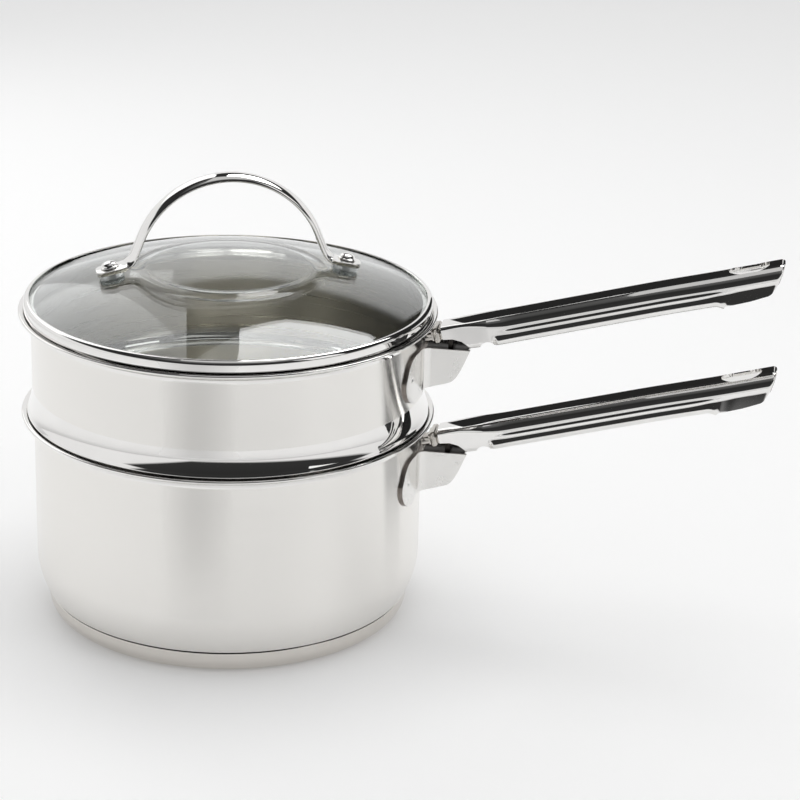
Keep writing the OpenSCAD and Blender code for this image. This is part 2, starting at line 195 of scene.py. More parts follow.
def tinted(tree, colour, mask, low, high):
    """The colour times a value that the mask moves between low and high."""
    tint = ranged(tree, mask, 0.3, 0.7, low, high)
    return node(tree, "ShaderNodeVectorMath", {0: colour, "Scale": tint},
                operation="SCALE").outputs[0]


def steel(name, colour, low, high, fineness, length, bump, anisotropy):
    made, tree, shader = finish(name)
    shader.inputs["Metallic"].default_value = 1.0
    shader.inputs["Anisotropic"].default_value = anisotropy
    shader.inputs["Anisotropic Rotation"].default_value = 0.25
    lines = use_group(tree, brush, Fineness=fineness, Length=length, Low=low, High=high)
    shade = tinted(tree, colour, lines.outputs["Height"], 0.972, 1.0)
    relief = node(tree, "ShaderNodeBump",
                  {"Height": lines.outputs["Height"], "Strength": bump, "Distance": 0.0002})
    around = node(tree, "ShaderNodeTangent", direction_type="RADIAL", axis="Z")
    tree.links.new(shade, shader.inputs["Base Color"])
    tree.links.new(lines.outputs["Roughness"], shader.inputs["Roughness"])
    tree.links.new(relief.outputs[0], shader.inputs["Normal"])
    tree.links.new(around.outputs[0], shader.inputs["Tangent"])
    return made


def polish(name, colour, low, high):
    made, tree, shader = finish(name)
    shader.inputs["Metallic"].default_value = 1.0
    smears = use_group(tree, clouds, Scale=60.0, Low=low, High=high)
    shade = tinted(tree, colour, smears.outputs["Mask"], 1.0, 0.96)
    tree.links.new(shade, shader.inputs["Base Color"])
    tree.links.new(smears.outputs["Roughness"], shader.inputs["Roughness"])
    return made


wall_steel = steel("brushed wall steel", (0.88, 0.865, 0.835), low=0.19, high=0.23,
                   fineness=2600.0, length=22.0, bump=0.012, anisotropy=1.0)
inside_steel = steel("brushed inside steel", (0.72, 0.69, 0.63), low=0.24, high=0.36,
                     fineness=1500.0, length=16.0, bump=0.12, anisotropy=0.65)
bright_steel = polish("mirror polished steel", (0.88, 0.87, 0.855), 0.02, 0.05)
plate_steel = polish("satin bracket steel", (0.84, 0.83, 0.81), 0.22, 0.30)
# Painted shade: the sheared edge's dark colour stands for the shadow along the bracket's edges; its higher
# roughness is the edge's own.
edge_and_shade_steel = polish("sheared edge steel with painted shade", (0.30, 0.27, 0.25), 0.30, 0.42)
# Painted shade: the ferrule's colour is darker than the other steel, standing for the dark things it
# mirrors between wall and grip.
darkened_ferrule_steel = polish("ferrule steel darkened as painted shade", (0.60, 0.575, 0.54), 0.12, 0.22)
cap_steel = polish("base cap steel", (0.74, 0.71, 0.67), 0.14, 0.20)
# Painted shade: a nearly black steel for seams and gaps where only shade shows.
painted_shade_steel = polish("painted shade steel", (0.045, 0.04, 0.037), 0.35, 0.50)
core_metal = polish("core aluminium", (0.66, 0.67, 0.68), 0.32, 0.45)


def clear(name, transmission, ior, cloud_scale, low, high, first, second):
    made, tree, shader = finish(name)
    shader.inputs["Transmission Weight"].default_value = transmission
    shader.inputs["IOR"].default_value = ior
    film = use_group(tree, clouds, Scale=cloud_scale, Low=low, High=high)
    tree.links.new(mixed(tree, film.outputs["Mask"], first, second), shader.inputs["Base Color"])
    tree.links.new(film.outputs["Roughness"], shader.inputs["Roughness"])
    return made, tree, shader


glass, glass_tree, glass_shader = clear("clear lid glass", 1.0, 1.47, 25.0, 0.0, 0.012,
                                        (0.955, 0.98, 0.972, 1), (0.97, 0.99, 0.982, 1))
# Light passes the pane straight, so that the pans below aren't dark.
path = node(glass_tree, "ShaderNodeLightPath")
straight = node(glass_tree, "ShaderNodeBsdfTransparent", {"Color": (0.90, 0.93, 0.92, 1)})
show(glass_tree, path.outputs["Is Shadow Ray"], glass_shader, straight)

silicone = clear("clear silicone", 0.7, 1.41, 300.0, 0.18, 0.34,
                 (0.70, 0.73, 0.72, 1), (0.82, 0.84, 0.83, 1))[0]
print("materials:", [m.name for m in bpy.data.materials])

# %% [markdown]
# ## Turning a profile
#
# A spun pan is one outline swept round an axis. A lathe made of Geometry Nodes takes the outline's
# points in order and lays them out on a grid: one row of the grid is the outline, and each next
# row is the same outline turned a little more. The last row meets the first, so the seam and the
# poles are merged. Sizes stay in the outline, and the tree only knows how many steps to make.

# %% The lathe
def tree_with(name, sockets):
    tree = bpy.data.node_groups.new(name, "GeometryNodeTree")
    tree.interface.new_socket("Geometry", in_out="INPUT", socket_type="NodeSocketGeometry")
    ids = {label: tree.interface.new_socket(label, in_out="INPUT", socket_type=kind).identifier
           for label, kind in sockets.items()}
    tree.interface.new_socket("Geometry", in_out="OUTPUT", socket_type="NodeSocketGeometry")
    return tree, tree.nodes.new("NodeGroupInput"), tree.nodes.new("NodeGroupOutput"), ids


lathe, lathe_in, lathe_out, lathe_ids = tree_with(
    "Lathe", {"Steps": "NodeSocketInt", "Material": "NodeSocketMaterial"})
outline_in = lathe_in.outputs["Geometry"]
count = node(lathe, "GeometryNodeAttributeDomainSize", {"Geometry": outline_in},
             component="MESH").outputs["Point Count"]
rows = math_node(lathe, "ADD", lathe_in.outputs["Steps"], 1.0)
sheet = node(lathe, "GeometryNodeMeshGrid", {"Vertices X": rows, "Vertices Y": count})
index = node(lathe, "GeometryNodeInputIndex").outputs[0]
row = math_node(lathe, "FLOOR", math_node(lathe, "DIVIDE", math_node(lathe, "ADD", index, 0.5), count))
place_in_row = math_node(lathe, "SUBTRACT", index, math_node(lathe, "MULTIPLY", row, count))
outline_point = node(lathe, "GeometryNodeSampleIndex", {"Geometry": outline_in, "Index": place_in_row},
                     data_type="FLOAT_VECTOR", domain="POINT")
lathe.links.new(node(lathe, "GeometryNodeInputPosition").outputs[0], outline_point.inputs["Value"])
turn = math_node(lathe, "MULTIPLY", math_node(lathe, "DIVIDE", row, lathe_in.outputs["Steps"]), 2 * math.pi)
turned_point = node(lathe, "ShaderNodeVectorRotate",
                    {"Vector": outline_point.outputs[0], "Angle": turn}, rotation_type="Z_AXIS")
moved = node(lathe, "GeometryNodeSetPosition",
             {"Geometry": sheet.outputs["Mesh"], "Position": turned_point.outputs[0]})
closed = node(lathe, "GeometryNodeMergeByDistance", {"Geometry": moved.outputs[0], "Distance": 0.000004})
real = node(lathe, "GeometryNodeRealizeInstances", {"Geometry": closed.outputs[0]})
dressed = node(lathe, "GeometryNodeSetMaterial",
               {"Geometry": real.outputs[0], "Material": lathe_in.outputs["Material"]})
lathe.links.new(dressed.outputs[0], lathe_out.inputs[0])


def settle(piece, sharp=32):
    """A plain mesh from the piece and its modifiers, with faces outward and soft shading."""
    mesh = bpy.data.meshes.new_from_object(piece.evaluated_get(bpy.context.evaluated_depsgraph_get()))
    piece.modifiers.clear()
    work = bmesh.new()
    work.from_mesh(mesh)
    bmesh.ops.remove_doubles(work, verts=work.verts, dist=0.000002)
    bmesh.ops.dissolve_degenerate(work, edges=work.edges, dist=0.000001)
    bmesh.ops.recalc_face_normals(work, faces=work.faces)
    work.to_mesh(mesh)
    work.free()
    mesh.polygons.foreach_set("use_smooth", [True] * len(mesh.polygons))
    mesh.set_sharp_from_angle(angle=math.radians(sharp))
    piece.data = mesh
    return piece


def turned(name, outline, material, steps=240):
    """A piece of revolution from an outline in millimetres, as (radius, height) in order."""
    mesh = bpy.data.meshes.new(name)
    points = [(r * MM, 0, z * MM) for r, z in outline]
    mesh.from_pydata(points, [(i, i + 1) for i in range(len(points) - 1)], [])
    piece = in_scene(name, mesh)
    lathed = piece.modifiers.new("lathe", "NODES")
    lathed.node_group = lathe
    lathed[lathe_ids["Steps"]] = steps
    lathed[lathe_ids["Material"]] = material
    settle(piece)
    print(name, len(piece.data.polygons), "faces")
    return piece


def smooth(t):
    """A soft step from 0 to 1, level at both ends."""
    t = min(max(t, 0.0), 1.0)
    return t * t * (3 - 2 * t)


def bend(x, z, radius, start, end, steps=12):
    """Points on a round corner, between two angles in degrees."""
    angles = np.radians(np.linspace(start, end, steps + 1))
    return [(x + radius * math.cos(a), z + radius * math.sin(a)) for a in angles]


# %% [markdown]
# ## The saucepan and its base
#
# The saucepan is pressed from one disc: a flat floor, a wide bend, a straight wall and a rim that
# flares out to pour from. A cap closes the base over an aluminium core, and leaves a thin groove
# where it meets the wall. The wall is brushed and the rim is polished, and the faces in the groove
# are painted nearly black as painted shade, so faces are picked by their place and facing and get a
# material of their own.

# %% Saucepan
SHEET = 0.8
PAN_R, PAN_H = 81.7, 88.8
FLOOR_Z, CORNER_R, TIGHT_R = 7.2, 34, 5
RIM_BEND, RIM_OUT, RIM_EDGE = 4.4, 5.2, 1.3
RIM_POLISH = 5.4  # how far below its top a rim is polished
MIDDLE = 40  # a flat disc gets a ring of points at this radius


def rim_outside(wall, top):
    return (bend(wall + RIM_BEND, top - RIM_EDGE - RIM_BEND, RIM_BEND, 180, 92) +
            bend(wall + RIM_OUT - RIM_EDGE / 2, top - RIM_EDGE / 2, RIM_EDGE / 2, -88, 86, 8))


def rim_inside(wall, top):
    inner = RIM_BEND + SHEET
    return bend(wall + RIM_BEND, top - inner, inner, 90, 180)


# The wide corner of the pan ends at this angle, where a tight bend leads to the floor.
bend_end = 30.7
corner_x = PAN_R - CORNER_R
tight_x = corner_x + (CORNER_R - TIGHT_R) * math.cos(math.radians(bend_end))
tight_z = FLOOR_Z + TIGHT_R
wall_foot = tight_z + (CORNER_R - TIGHT_R) * math.sin(math.radians(bend_end))
GROOVE = [(76.45, 9.15), (76.6, 10.0)]
pan_outline = ([(0, FLOOR_Z), (MIDDLE, FLOOR_Z)] + bend(tight_x, tight_z, TIGHT_R, -90, -45, 8) + GROOVE +
               bend(corner_x, wall_foot, CORNER_R, -29.92, 0, 24) +
               [(PAN_R, 50), (PAN_R, 76)] + rim_outside(PAN_R, PAN_H) + rim_inside(PAN_R, PAN_H) +
               [(PAN_R - SHEET, 76), (PAN_R - SHEET, 50)] +
               bend(corner_x, wall_foot, CORNER_R - SHEET, 0, -bend_end, 24) +
               bend(tight_x, tight_z, TIGHT_R - SHEET, -bend_end, -90, 8)[1:] +
               [(MIDDLE, FLOOR_Z + SHEET), (0, FLOOR_Z + SHEET)])
pan = turned("saucepan_wall", pan_outline, wall_steel)


def give(piece, material, test):
    """Faces that pass the test get the material. The test is given the face's radius and height,
    the way it faces, and how far it faces away from the axis."""
    piece.data.materials.append(material)
    slot = len(piece.data.materials) - 1
    chosen = 0
    for face in piece.data.polygons:
        x, y, z = (c / MM for c in face.center)
        r = math.hypot(x, y)
        if test(r, z, face.normal, (x * face.normal.x + y * face.normal.y) / max(r, 0.001)):
            face.material_index = slot
            chosen += 1
    print(piece.name, material.name, chosen, "faces")


def faces_in(n, out):
    return out < -0.05 or n.z > 0.4


give(pan, inside_steel, lambda r, z, n, out: r < PAN_R - 0.4 and z > FLOOR_Z + 0.4 and faces_in(n, out))
# Painted shade: the faces just above the base cap's edge are nearly black, for the shade in the groove.
give(pan, painted_shade_steel, lambda r, z, n, out: 9.1 < z < 10.04 and out > 0.05 and r < 77.1)
give(pan, bright_steel, lambda r, z, n, out: z > PAN_H - RIM_POLISH)
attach(pan, "saucepan")
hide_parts("lower_pan")

BASE_R, CAP_ROUND = 76.8, 6.5
foot_r = BASE_R - CAP_ROUND
cap_outline = ([(0, 0), (MIDDLE, 0)] + bend(foot_r, CAP_ROUND, CAP_ROUND, -90, 0, 16) + [(BASE_R, 9.0)] +
               bend(BASE_R - 0.3, 9.1, 0.3, 0, 110, 5) + [(BASE_R - SHEET, 8.7)] +
               bend(foot_r, CAP_ROUND, CAP_ROUND - SHEET, 0, -90, 12) + [(MIDDLE, SHEET), (0, SHEET)])
cap = turned("base_cap_shell", cap_outline, cap_steel)
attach(cap, "saucepan")
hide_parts("base_cap")

# %% [markdown]
# ## The insert pan
#
# The insert is narrower below, where it hangs in the steam, and steps out to a shoulder that rests
# on the saucepan's rim. Above the shoulder its wall sweeps in again, which is the bright band that
# runs round the middle of the stack.

# %% Insert pan
INSERT_R, INSERT_H = 82.2, 133.1
NEST_R, NEST_FLOOR, NEST_CORNER = 79, 50, 12
FLARE_R, FLARE_Z = 22, 100
flare_x = INSERT_R + FLARE_R
STEP_Z, STEP_BEND = 87.2, 1.9
step_x = NEST_R + STEP_BEND
nest_x, nest_z = NEST_R - NEST_CORNER, NEST_FLOOR + NEST_CORNER
insert_outline = ([(0, NEST_FLOOR), (MIDDLE, NEST_FLOOR)] + bend(nest_x, nest_z, NEST_CORNER, -90, 0, 12) +
                  [(NEST_R, 75)] + bend(step_x, STEP_Z, STEP_BEND, 180, 90, 8) +
                  bend(84.15, 89.55, 0.45, -90, 40, 6) +
                  bend(flare_x, FLARE_Z, FLARE_R, 180 + 24.9, 180, 20) + [(INSERT_R, 112)] +
                  rim_outside(INSERT_R, INSERT_H) + rim_inside(INSERT_R, INSERT_H) +
                  [(INSERT_R - SHEET, 112)] +
                  bend(flare_x, FLARE_Z, FLARE_R + SHEET, 180, 180 + 24.4, 20) + [(83.15, 89.9)] +
                  bend(step_x, STEP_Z, STEP_BEND + SHEET, 90, 180, 8) + [(NEST_R - SHEET, 75)] +
                  bend(nest_x, nest_z, NEST_CORNER - SHEET, 0, -90, 12) +
                  [(MIDDLE, NEST_FLOOR + SHEET), (0, NEST_FLOOR + SHEET)])
insert = turned("insert_pan_wall", insert_outline, wall_steel)
give(insert, inside_steel,
     lambda r, z, n, out: r < INSERT_R - 0.3 and not 88 < z < 90 and faces_in(n, out))
give(insert, bright_steel,
     lambda r, z, n, out: z > INSERT_H - RIM_POLISH or (88.9 < z < FLARE_Z and r > INSERT_R - 0.3))
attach(insert, "insert")
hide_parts("upper_pan")

# %% [markdown]
# ## The lid's glass and band
#
# The glass is a pressed dome with a raised disc in its middle, whose soft step bends the light.
# The band is thin sheet that is rolled round the glass's edge.

# %% Lid
DOME_TOP, DOME_R, GLASS_T = 152.7, 231, 3.2
RAISED_R, RAISED_RUN, RAISED_H = 33.5, 8.0, 0.7


def dome(r, inset=0.0):
    """Height of the glass at a radius, with the raised disc in its middle."""
    ball = DOME_TOP - DOME_R + math.sqrt((DOME_R - inset) ** 2 - r * r)
    return ball + RAISED_H * (1 - smooth((r - RAISED_R) / RAISED_RUN))


radii = np.concatenate((np.linspace(0, 33, 10), np.linspace(RAISED_R, 42, 24), np.linspace(43, 84, 24)))
glass_edge = [(82.8, 133.98), (84.1, 134.0), (84.3, 134.3), (84.3, 136.6)]
glass_outline = ([(r, dome(r, GLASS_T)) for r in radii if r < 82.6] + glass_edge +
                 [(r, dome(r)) for r in radii[::-1]])
lid_pane = turned("lid_pane", glass_outline, glass)
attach(lid_pane, "lid")
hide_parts("lid_glass")

BAND_Z, SKIRT, BAND_SHEET = INSERT_H + 0.3, 4.9, 0.5
skirt_in, skirt_low, curl_z = 80.1, BAND_Z - SKIRT, BAND_Z + 2.9
skirt_out = skirt_in + BAND_SHEET
band_outline = ([(skirt_in, skirt_low), (skirt_out, skirt_low), (skirt_out, BAND_Z)] +
                bend(84.5, BAND_Z + 0.6, 0.6, -90, 0, 6) + bend(83.1, curl_z, 2.0, 0, 100, 14) +
                bend(83.1, curl_z, 2.0 - BAND_SHEET, 100, 0, 12) +
                [(84.6, BAND_Z + BAND_SHEET), (skirt_in, BAND_Z + BAND_SHEET), (skirt_in, skirt_low)])
band = turned("lid_band_ring", band_outline, bright_steel)
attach(band, "lid")
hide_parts("lid_band")

# %% [markdown]
# ## The lid's handle
#
# The handle is one strap of steel, flat inside and rounded outside, bent to an arch whose feet
# turn out and lie on the glass. It is a loft: the strap's section is set square to a path at many
# places, and its width and crown change on the way to the foot, which is flat for the rivet.

# %% Lid handle
LID_TURN = math.radians(19.5)
RIVET_AT = 48.7
lean = math.asin(RIVET_AT / DOME_R)
arch_end = math.radians(68)
ARCH, ARCH_H, LEG_BEND = 39.5, 36.2, 8.0
STRAP_HALF, STRAP_T, PAD_TOP, FOOT_ROUND = 5.0, 3.0, 1.84, 3.6
FOOT_STEPS = 29
arch_z = DOME_TOP + ARCH_H - ARCH
strap_mid = PAD_TOP + STRAP_T / 2
swing = arch_end - lean
dx = ARCH * math.sin(arch_end) - RIVET_AT
dz = arch_z + ARCH * math.cos(arch_end) - dome(RIVET_AT)
drop_left = dx * math.sin(lean) + dz * math.cos(lean) - strap_mid - LEG_BEND * (1 - math.cos(swing))
leg = drop_left / math.sin(swing)


def strap_path():
    """Places on the strap's middle line from the arch's top to the foot's end, with its heading."""
    spots = [(ARCH * math.sin(a), arch_z + ARCH * math.cos(a), a) for a in np.linspace(0, arch_end, 44)]
    x, z, down = spots[-1]
    spots += [(x + s * math.cos(down), z - s * math.sin(down), down) for s in np.linspace(0, leg, 12)[1:]]
    x, z, _ = spots[-1]
    cx, cz = x + LEG_BEND * math.sin(down), z + LEG_BEND * math.cos(down)
    spots += [(cx - LEG_BEND * math.sin(a), cz - LEG_BEND * math.cos(a), a)
              for a in np.linspace(down, lean, 22)[1:]]
    x, z, _ = spots[-1]
    run = (RIVET_AT + strap_mid * math.sin(lean) - x) / math.cos(lean) + 5.8
    spots += [(x + s * math.cos(lean), z - s * math.sin(lean), lean)
              for s in run * np.sin(np.linspace(0, math.pi / 2, FOOT_STEPS + 1))[1:]]
    return spots


def strap_ring(half, sag, thick):
    """The strap's section, as (across, out), from one lower edge over the crown to the other."""
    soft, under_side = 0.45, -STRAP_T / 2
    top = [(half * a * (1 - 0.025 * a ** 8), under_side + thick - sag * a * a)
           for a in np.linspace(-1, 1, 17)]
    low = [(half * 0.999, under_side + soft), (half - soft, under_side), (0, under_side),
           (soft - half, under_side), (-half * 0.999, under_side + soft)]
    return top + low


def loft(rings):
    """Vertices and faces of a closed skin over rings of equally many points, with both ends shut."""
    n, last = len(rings[0]), (len(rings) - 1) * len(rings[0])
    faces = [(r + i, r + (i + 1) % n, r + n + (i + 1) % n, r + n + i)
             for r in range(0, last, n) for i in range(n)]
    ends = [tuple(range(n))[::-1], tuple(range(last, last + n))]
    return [point for ring in rings for point in ring], faces + ends


spots = strap_path()
rings = []
for i, (x, z, a) in enumerate(spots):
    near_foot = i >= len(spots) - FOOT_STEPS - 10
    along = math.dist((x, z), spots[-1][:2]) if near_foot else 99.0
    flat = smooth((16.5 - along) / 6.0)
    half = STRAP_HALF + 0.3 * flat
    if along < FOOT_ROUND:
        half -= FOOT_ROUND - math.sqrt(max(FOOT_ROUND ** 2 - (FOOT_ROUND - along) ** 2, 0.0))
    rings.append([(x + o * math.sin(a), s, z + o * math.cos(a))
                  for s, o in strap_ring(half, 1.75 - 1.5 * flat, STRAP_T - 0.8 * flat)])
mirrored = [[(-x, y, z) for x, y, z in ring] for ring in rings[:0:-1]]
strap_points, strap_faces = loft(mirrored + rings)
strap = bpy.data.meshes.new("lid_strap")
strap.from_pydata([Vector(p) * MM for p in strap_points], [], strap_faces)
strap.transform(Matrix.Rotation(LID_TURN, 4, "Z"))
strap.materials.append(bright_steel)
lid_strap = in_scene("lid_strap", strap)
settle(lid_strap, sharp=50)
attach(lid_strap, "lid")
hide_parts("lid_handle")
print("lid strap", len(lid_strap.data.polygons), "faces, leg", round(leg, 2), "mm")

# %% [markdown]
# ## The lid's rivets
#
# A rivet is turned too: a domed head with a thin rim, a shank through the glass, and a tail that
# was spread on the washer below. It is turned upright on the lathe, then its mesh is carried to
# its place and leaned square to the glass.

# %% Rivets
HEAD_Z, TAIL_Z = 4.08, -4.26
SHANK_R, TAIL_R, RIM_R, CROWN_H = 2.0, 3.2, 3.6, 1.75
crown = [(3.3 * math.cos(a), HEAD_Z + 0.75 + CROWN_H * math.sin(a))
         for a in np.radians(np.linspace(4, 90, 16))]
rivet_outline = ([(0, TAIL_Z - 1.2), (2.6, TAIL_Z - 1.2)] + bend(2.8, TAIL_Z - 0.8, 0.4, -80, 0, 4) +
                 [(TAIL_R, TAIL_Z - 0.15), (3.05, TAIL_Z), (SHANK_R, TAIL_Z)] +
                 [(SHANK_R, HEAD_Z), (RIM_R, HEAD_Z)] + bend(RIM_R - 0.1, HEAD_Z + 0.3, 0.3, -60, 70, 6) +
                 [(3.35, HEAD_Z + 0.72)] + crown)
to_rivet = Matrix.Translation(Vector((RIVET_AT, 0, dome(RIVET_AT))) * MM) @ Matrix.Rotation(lean, 4, "Y")
for name, replaced, half_turn in (("lid_rivet_right_turned", "lid_rivet_right", 0),
                                  ("lid_rivet_left_turned", "lid_rivet_left", 1)):
    rivet = turned(name, rivet_outline, bright_steel, 64)
    rivet.data.transform(Matrix.Rotation(LID_TURN + math.pi * half_turn, 4, "Z") @ to_rivet)
    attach(rivet, "lid")
    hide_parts(replaced)

# %% [markdown]
# ## The long handles
#
# Each grip is a channel pressed from sheet: a crowned top, round shoulders, upright sides and two
# lips that curl in below. The sheet's outer skin is laid out as a grid, along the grip and round
# its section, and cut to the outline that its side view has. Rows that end early leave points on
# top of each other, so the sheet is cleaned first. Then Solidify gives it its thickness, a cutter
# opens the hanging slot, and a small bevel softens the cut edges.

# %% Grips
GRIP_L, GRIP_T, TIP_R = 142.75, 1.2, 1.6
CORNER_MARKS = 35  # points of a section from the crown's middle to the shoulder's end
ROOT_X, ROOT_Z, RISE = 89.6, 132.0, math.radians(15)
LOWER_BY = 45.8  # how far the saucepan's handle is below the insert's
SLOT_AT, SLOT_RUN, SLOT_R = 128.2, 3.2, 5.2
root_tab = [(-3, -5.4), (-0.4, -5.4), (4.0, -6.0), (7.6, -7.7), (9.4, -9.6), (10.4, -11.3), (13.2, -11.3)]
under = (root_tab + bend(17.8, -12.9, 3.6, 154, 20, 12) + [(22.5, -11.65), (118, -11.65), (126.5, -11.4)] +
         bend(133.2, -6.6, 4.1, -88, -32, 12) + [(GRIP_L + 3, -1.4)])
under_u, under_v = np.array(under).T


def half_width(u):
    return min(6.3 + 1.95 * smooth((u / 22 - 0.1) / 0.9), 8.15)


def slant(v):
    """How far the tip's end face leans back below the crown."""
    return 0.618 * max(-v - 1.0, 0.0)


def section_half(u):
    """Half of the section at a place along the grip, from the crown's middle to the lip's inner edge."""
    half = half_width(u)
    radius = 1.6 + 3.4 * smooth((u - 8) / 22) + 0.4 * smooth((u - 60) / 80)
    sag = 0.5  # the crown's height over its edges, if it reached the full width
    crown_r = (half * half + sag * sag) / (2 * sag)
    middle = half - radius
    middle_v = -crown_r + math.sqrt((crown_r - radius) ** 2 - middle ** 2)
    corner = math.degrees(math.atan2(middle_v + crown_r, middle))
    flare = smooth((u - 20) / 3)
    crease = 0.45 * smooth((u - 22) / 10) * (1 - smooth((u - 104) / 22))
    step = half + crease
    edge = step + (9.2 - step) * flare
    foot = -9.3 - 2.3 * smooth((u - 114) / 8)
    fold = min(-7.3 + 0.7 * smooth((u - 104) / 26), middle_v - 0.3)
    points = bend(0, -crown_r, crown_r, 90, corner, 9) + bend(middle, middle_v, radius, corner, 0, 26)[1:]
    points += [(half + crease * smooth((-v - 5.25) / 1.0), v) for v in np.linspace(middle_v, fold, 14)[1:]]
    points += [(step + (edge - step) * t, fold - (fold - foot) * t) for t in (0.1, 0.3, 0.5, 0.7, 0.9, 1.0)]
    points += bend(edge - 1.1, foot - 0.1, 1.1, 10, -35, 4)[1:]
    points += bend(edge - 2.25, foot - 0.1, 2.25, -35, -90, 7)[1:] + [(half - 2.35, foot - 2.35)]
    return points


def grip_row(u):
    """Half of a row of the sheet's outer skin, cut off at the underside's outline."""
    to_tip = min(max((u - GRIP_L + TIP_R) / TIP_R, 0.0), 1.0)
    inset = TIP_R * (1 - math.sqrt(1 - to_tip * to_tip))
    line = np.array(section_half(u))
    step = np.gradient(line, axis=0)
    normal = np.column_stack((-step[:, 1], step[:, 0]))
    normal /= np.linalg.norm(normal, axis=1)[:, None]
    line -= normal * inset
    line[0, 0] = 0.0
    slanted = smooth((u - 96) / (GRIP_L - 96))
    droop = 0.45 * smooth((u - 85) / 40)
    lips = smooth((u - 20.5) / 2.5) * (1 - smooth((u - 117) / 3.0))
    length = np.concatenate(([0], np.cumsum(np.linalg.norm(np.diff(line, axis=0), axis=1))))
    fine = np.linspace(0, length[-1], 600)
    v = np.interp(fine, length, line[:, 1])
    floor_v = np.interp([u - slanted * slant(b) for b in v], under_u, under_v)
    past = np.nonzero(v < floor_v)[0]
    reach = fine[past[0]] if len(past) else length[-1]
    reach += (length[-1] - reach) * lips
    corners = length[:CORNER_MARKS]
    rest = np.linspace(corners[-1], max(reach, corners[-1] + 0.3), 27)[1:]
    marks = np.concatenate((np.minimum(corners, reach), rest))
    y, v = np.interp(marks, length, line[:, 0]), np.interp(marks, length, line[:, 1])
    return [(u - slanted * slant(b), a, b - droop) for a, b in zip(y, v)]


def grip_places():
    """Places of the rows along the grip: close together at the root, the lips' ends and the tip."""
    quarter = np.sin(np.linspace(0, math.pi / 2, 9))
    return np.concatenate([np.linspace(0, 27, 72), np.linspace(28, 112, 34),
                           np.linspace(113, GRIP_L - TIP_R - 0.5, 52), GRIP_L - TIP_R + TIP_R * quarter])


def tilt_and_place(point, drop):
    """A point of the grip, as (along, across, up from its crown), in the object's frame."""
    u, y, v = point
    return Vector((ROOT_X + u * math.cos(RISE) - v * math.sin(RISE), y,
                   ROOT_Z - drop + u * math.sin(RISE) + v * math.cos(RISE))) * MM


def soften(piece, width, segments=2):
    """Rounds the piece's sharp edges."""
    soft = piece.modifiers.new("soft edges", "BEVEL")
    soft.width = width * MM
    soft.segments = segments
    soft.limit_method = "ANGLE"
    soft.angle_limit = math.radians(50)
    return settle(piece, sharp=40)


def make_grip(name, drop):
    """The grip's sheet, made thick, slotted and softened. The drop is how far down it sits."""
    rows = []
    for place in grip_places():
        half_row = grip_row(place)
        rows.append([(u, -y, v) for u, y, v in half_row[:0:-1]] + half_row)
    wide = len(rows[0])
    last = (len(rows) - 1) * wide
    faces = [(r * wide + i, (r + 1) * wide + i, (r + 1) * wide + i + 1, r * wide + i + 1)
             for r in range(len(rows) - 1) for i in range(wide - 1)]
    middle = wide // 2
    faces += [(last + i, last + wide - 1 - i, last + wide - 2 - i, last + i + 1) for i in range(middle - 1)]
    faces.append((last + middle - 1, last + middle + 1, last + middle))
    mesh = bpy.data.meshes.new(name)
    mesh.from_pydata([tilt_and_place(p, drop) for row in rows for p in row], [], faces)
    mesh.materials.append(bright_steel)
    clean = bmesh.new()
    clean.from_mesh(mesh)
    bmesh.ops.remove_doubles(clean, verts=clean.verts, dist=0.00001)
    bmesh.ops.dissolve_degenerate(clean, edges=clean.edges, dist=0.00001)
    clean.to_mesh(mesh)
    clean.free()
    grip = in_scene(name, mesh)
    thick = grip.modifiers.new("sheet", "SOLIDIFY")
    thick.thickness = GRIP_T * MM
    thick.offset = -1
    thick.use_even_offset = False
    settle(grip, sharp=40)
    stadium = (bend(SLOT_AT + SLOT_RUN, 0, SLOT_R, -90, 90, 30) +
               bend(SLOT_AT - SLOT_RUN, 0, SLOT_R, 90, 270, 30))
    cutter_mesh = bpy.data.meshes.new("slot cutter")
    cutter_points, cutter_faces = loft([[tilt_and_place((u, y, v), drop) for u, y in stadium]
                                        for v in (-4, 3)])
    cutter_mesh.from_pydata(cutter_points, [], cutter_faces)
    cutter = in_scene("slot cutter", cutter_mesh)
    cut = grip.modifiers.new("slot", "BOOLEAN")
    cut.object = cutter
    cut.operation = "DIFFERENCE"
    cut.solver = "EXACT"
    settle(grip, sharp=40)
    bpy.data.objects.remove(cutter)
    soften(grip, 0.35, segments=3)
    print(name, len(grip.data.polygons), "faces")
    return grip


for name, body, replaced, drop in (("upper_grip_channel", "insert", "upper_grip", 0.0),
                                   ("lower_grip_channel", "saucepan", "lower_grip", LOWER_BY)):
    grip = make_grip(name, drop)
    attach(grip, body)
    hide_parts(replaced)

# %% [markdown]
# ## The brackets
#
# A bracket is cut and folded from one sheet: two rounded ears lie on the wall, and two cheeks fold
# out of them to carry the grip. The ears are held by spot welds, which leave small dents. Each
# half is laid out as a grid that follows the fold in plan and is cut to the outline in height, and
# Solidify gives the sheet its thickness, with the sheared edge as a material of its own: rougher,
# and painted dark as painted shade for the shadow along the ears' edges.

# %% Bracket sheet
WELD_GAP = 0.04
EAR_T, CHEEK_Y, FOLD, EAR_FAR = 1.2, 6.8, 3.5, 26.17
EAR_LOW, EAR_TOP, CHEEK_TOP, CHEEK_END = -30.6, -10.2, -10.3, 102.4
WELDS, DENT = ((20.7, 19.8), (11.6, 26.6)), 0.25
SHEET_ROWS = 44
cheek_x = (78, 84, 93.4, 94.9, 96.1, 97.0, 99, 102.5)
cheek_low = (-29.4, -27.8, -25.0, -24.4, -23.4, -22.3, -18.8, -10.4)


def round_part(radius, offset):
    return math.sqrt(max(radius ** 2 - offset ** 2, 0.0))


